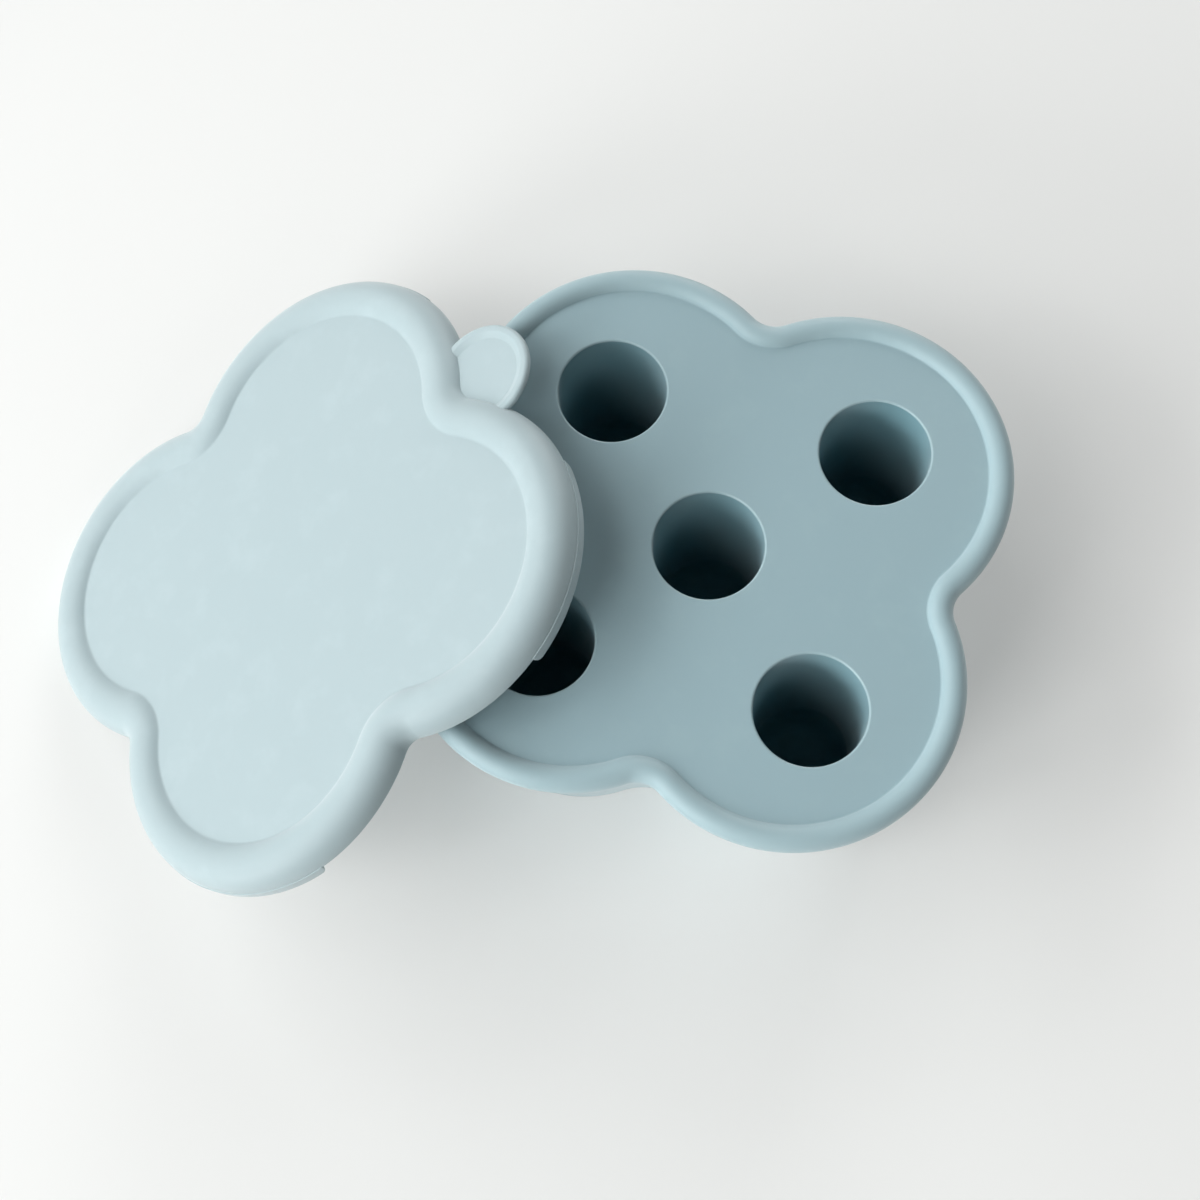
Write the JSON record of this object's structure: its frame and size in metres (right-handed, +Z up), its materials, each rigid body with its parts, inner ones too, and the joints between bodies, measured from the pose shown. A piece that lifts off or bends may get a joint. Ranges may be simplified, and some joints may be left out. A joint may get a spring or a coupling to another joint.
{
  "type": "baby food freezer tray",
  "caption": "Four-lobed silicone freezer tray with deep round wells for baby food portions, and its rimmed lid with a pull tab, propped open on the tray's edge.",
  "frame": {"origin": "centre of the tray's foot, on the table, under the centre well", "axes": "+Z up; +X and +Y along the tray's two lines of notches, so its lobes and outer wells lie on the diagonals; the lid leans away towards -X"},
  "size_m": [0.2213, 0.1629, 0.0731],
  "materials": {
    "tray_silicone": "matte moulded silicone, dusty blue",
    "lid_silicone": "matte moulded silicone, dusty blue"
  },
  "bodies": {
    "tray": {"tray": "tray_silicone"},
    "lid": {"lid": "lid_silicone"}
  },
  "joints": [
    {"name": "lid_lift", "type": "slide", "parent": "tray", "child": "lid", "axis": [0, 0, 1], "range_m": [0, 0.08]}
  ]
}
